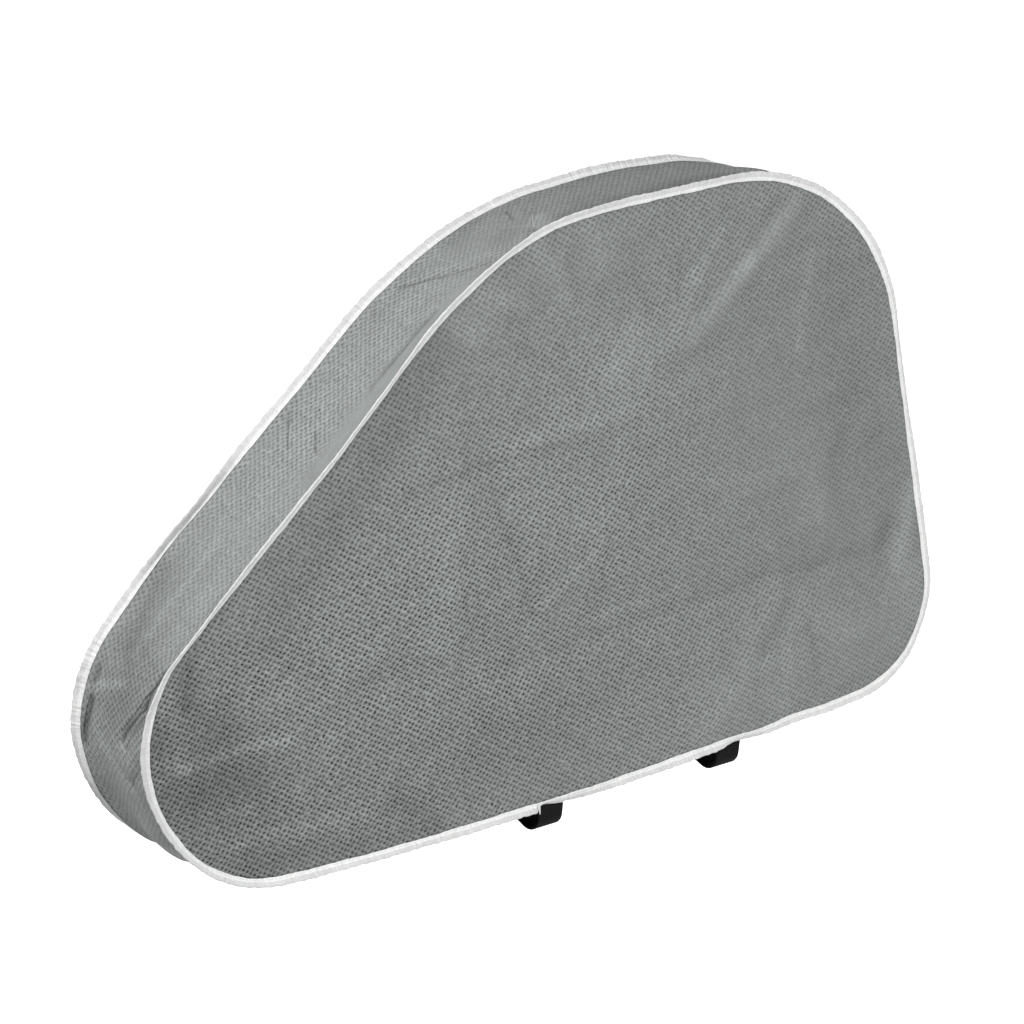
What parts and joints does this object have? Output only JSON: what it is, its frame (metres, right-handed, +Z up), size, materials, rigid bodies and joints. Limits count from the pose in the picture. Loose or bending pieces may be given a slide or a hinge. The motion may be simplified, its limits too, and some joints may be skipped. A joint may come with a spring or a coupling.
{
  "type": "caravan drawbar cover",
  "caption": "Hollow cloth cover for a caravan's drawbar gear: two shaped side panels joined by a gusset, taped seams, open underneath, held on by webbing straps.",
  "frame": {"origin": "underside of the gusset along its level top, halfway across the cover, where the drawbar's gear holds it up", "axes": "+X along the drawbar towards the caravan, -X towards the coupling, +Y across the cover from its near to its far side, +Z up"},
  "size_m": [1.0214, 0.1288, 0.6529],
  "materials": {
    "cloth": "mid grey non-woven polypropylene, embossed with small dots in a diamond repeat, matt",
    "tape": "white non-woven binding tape, folded over the raw edges and stitched",
    "webbing": "black woven polypropylene webbing"
  },
  "bodies": {
    "root": {"side_panel_near": "cloth", "side_panel_far": "cloth", "gusset": "cloth", "binding_near": "tape", "binding_far": "tape", "strap_nose": "webbing", "strap_heel": "webbing"}
  },
  "joints": []
}
